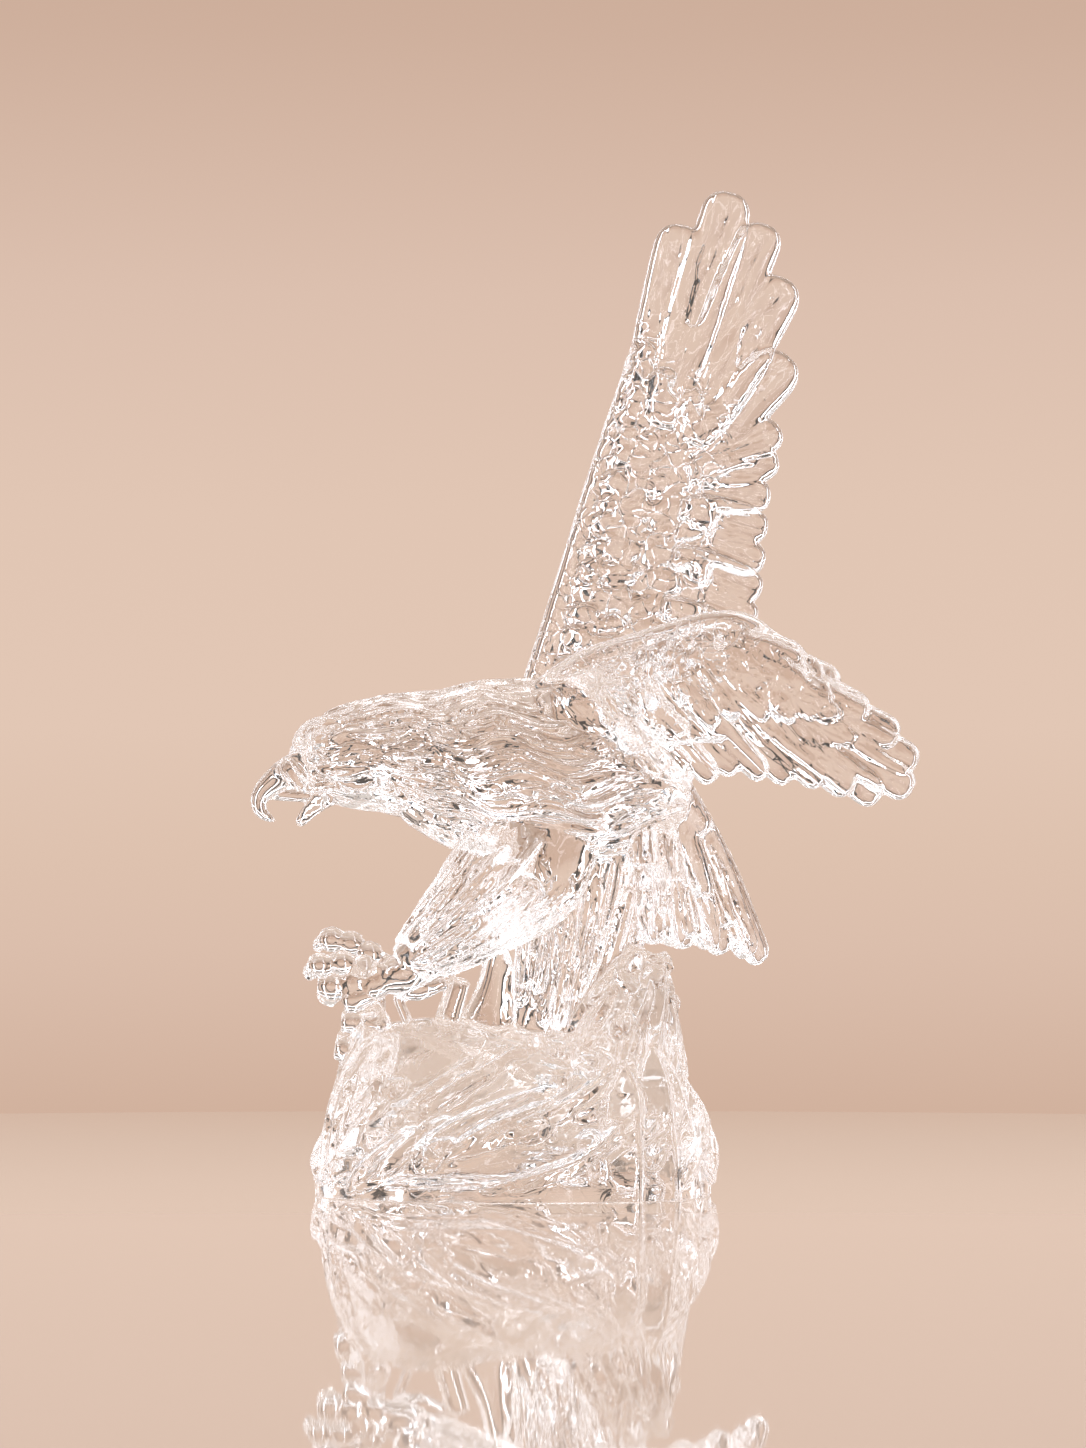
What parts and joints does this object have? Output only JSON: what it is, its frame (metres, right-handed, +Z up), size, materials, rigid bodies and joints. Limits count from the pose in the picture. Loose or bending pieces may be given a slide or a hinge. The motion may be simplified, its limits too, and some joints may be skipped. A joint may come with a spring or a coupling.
{
  "type": "eagle figurine",
  "caption": "Clear cast crystal eagle landing on a crag, one wing raised, the other swept back, a foot stretched forward, on a flat underside.",
  "frame": {"origin": "centre of the base's flat underside", "axes": "+X from the beak to the tail, +Y from the low swept-back wing to the raised wing, +Z up"},
  "size_m": [0.1544, 0.0928, 0.2406],
  "materials": {
    "crystal": "clear cast lead crystal, bright fire-polished relief, ground flat underside"
  },
  "bodies": {
    "root": {"crystal_eagle": "crystal"}
  },
  "joints": []
}
